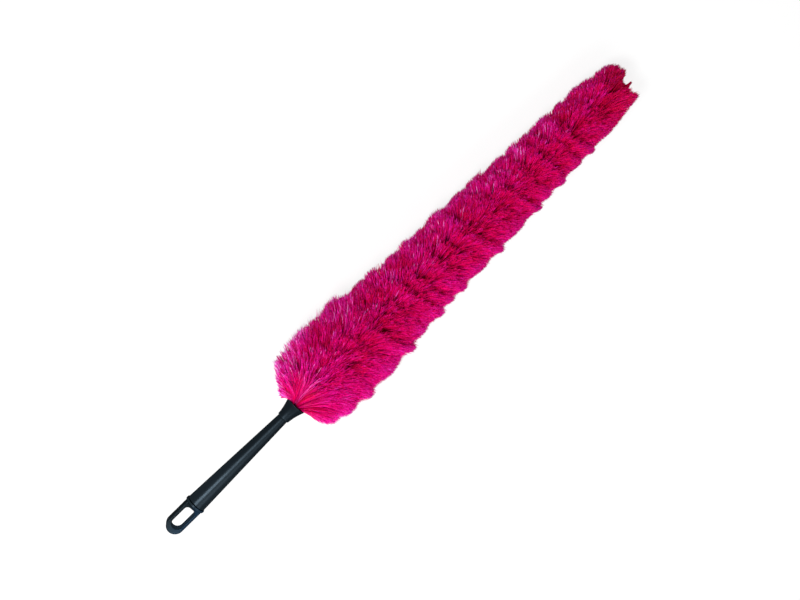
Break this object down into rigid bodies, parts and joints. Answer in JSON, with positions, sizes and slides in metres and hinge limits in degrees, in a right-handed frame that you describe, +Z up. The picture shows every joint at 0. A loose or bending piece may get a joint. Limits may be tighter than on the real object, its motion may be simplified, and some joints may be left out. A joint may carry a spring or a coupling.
{
  "type": "radiator brush",
  "caption": "Long tapered radiator brush: a magenta fibre pile on a twisted wire core, with a trumpet ferrule, a tapered black grip and a hang loop that turns.",
  "frame": {"origin": "on the table that the brush lies on, under the middle of its outer box", "axes": "+X from the hang loop towards the fibre tip, +Z up; the axis drops towards the tip by the taper's half angle"},
  "size_m": [0.7508, 0.112, 0.1156],
  "materials": {
    "cap_plastic": "satin navy-black moulding",
    "grip_plastic": "satin black moulding",
    "plug_plastic": "plain grey moulding",
    "core_steel": "zinc-coated drawn wire",
    "pile_fibre": "fine magenta synthetic fibre"
  },
  "bodies": {
    "brush": {"grip": "grip_plastic", "ferrule": "grip_plastic", "stem_plug": "plug_plastic", "core_wire": "core_steel", "pile_base": "pile_fibre", "pile_lower": "pile_fibre", "pile_upper": "pile_fibre", "pile_tip": "pile_fibre"},
    "hang_loop": {"hang_cap": "cap_plastic"}
  },
  "joints": [
    {"name": "hang_loop_turn", "type": "hinge", "parent": "brush", "child": "hang_loop", "pos_m": [-0.33022, 0, 0.07155], "axis": [0.9981, 0, -0.0609], "continuous": true}
  ]
}
